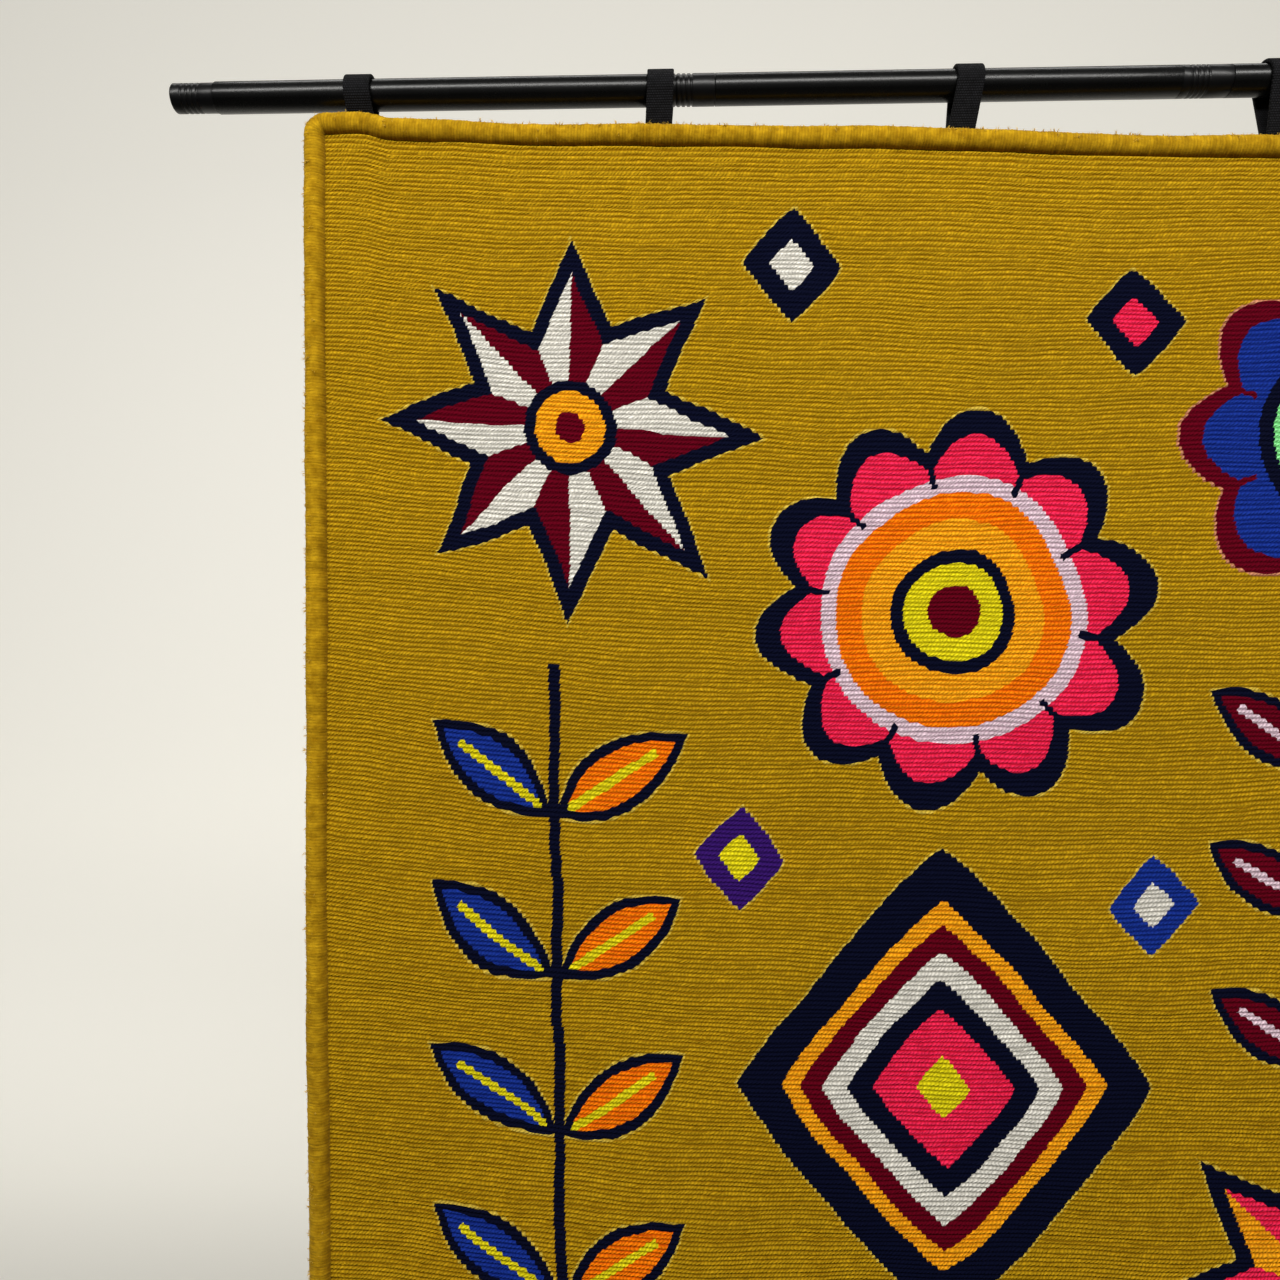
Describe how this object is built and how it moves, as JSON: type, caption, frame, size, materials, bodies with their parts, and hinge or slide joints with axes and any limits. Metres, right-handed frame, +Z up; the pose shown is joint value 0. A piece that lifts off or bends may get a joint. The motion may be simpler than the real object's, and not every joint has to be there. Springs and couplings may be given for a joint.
{
  "type": "wall tapestry on a hanging rod",
  "caption": "Ribbed wool wall tapestry with a thick whipped edge, hung by black webbing loops from a black rod made of screwed sections.",
  "frame": {"origin": "on the rod's axis at the middle of its length, which is what the rod's holders carry", "axes": "+X along the rod to the viewer's right, -Y towards the viewer, +Y towards the wall, +Z up"},
  "size_m": [1.5048, 0.0429, 1.7194],
  "materials": {
    "woven_wool": "ribbed wool weave, mustard ground with many-coloured motifs, matt",
    "edge_wool": "close turns of fuzzy mustard wool yarn",
    "webbing": "black woven webbing, matt",
    "rod_paint": "satin black",
    "rod_fitting": "satin black, grooved"
  },
  "bodies": {
    "root": {"tapestry_cloth": "woven_wool", "whipped_edge": "edge_wool", "hanging_loop_1": "webbing", "hanging_loop_2": "webbing", "hanging_loop_3": "webbing", "hanging_loop_4": "webbing", "hanging_loop_5": "webbing", "rod_tube_1": "rod_paint", "rod_tube_2": "rod_paint", "rod_tube_3": "rod_paint", "joint_collar_1": "rod_fitting", "joint_collar_2": "rod_fitting", "end_stub": "rod_fitting", "end_plug": "rod_fitting"}
  },
  "joints": []
}
